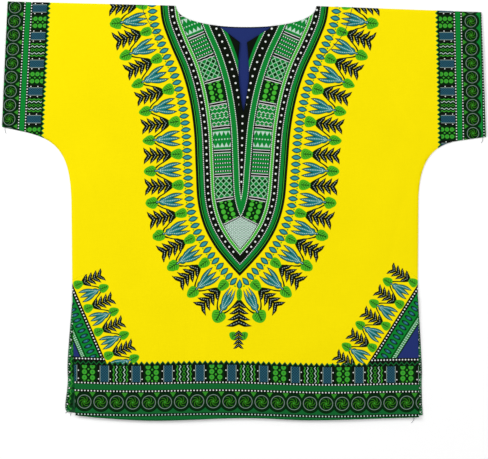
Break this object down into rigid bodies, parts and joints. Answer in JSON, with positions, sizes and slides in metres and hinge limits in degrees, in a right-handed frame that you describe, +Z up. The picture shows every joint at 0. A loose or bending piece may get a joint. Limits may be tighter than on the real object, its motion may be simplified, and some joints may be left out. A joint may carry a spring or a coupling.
{
  "type": "dashiki shirt",
  "caption": "Short-sleeved pullover shirt of printed cotton, laid flat front up, with a wide scoop neck, a slit front, printed borders and side vents.",
  "frame": {"origin": "middle of the shirt's box on the floor it lies on", "axes": "+X across the shirt from its right sleeve to its left sleeve as worn, +Y towards the neck, +Z up out of the front"},
  "size_m": [0.89, 0.771, 0.0058],
  "materials": {
    "printed_cotton": "smooth printed cotton, yellow ground with green, black and blue print",
    "border_cotton": "smooth printed cotton in the border's dark green"
  },
  "bodies": {
    "root": {"front_panel": "printed_cotton", "back_panel": "printed_cotton", "back_vent_hem_left": "border_cotton", "back_vent_hem_right": "border_cotton"}
  },
  "joints": []
}
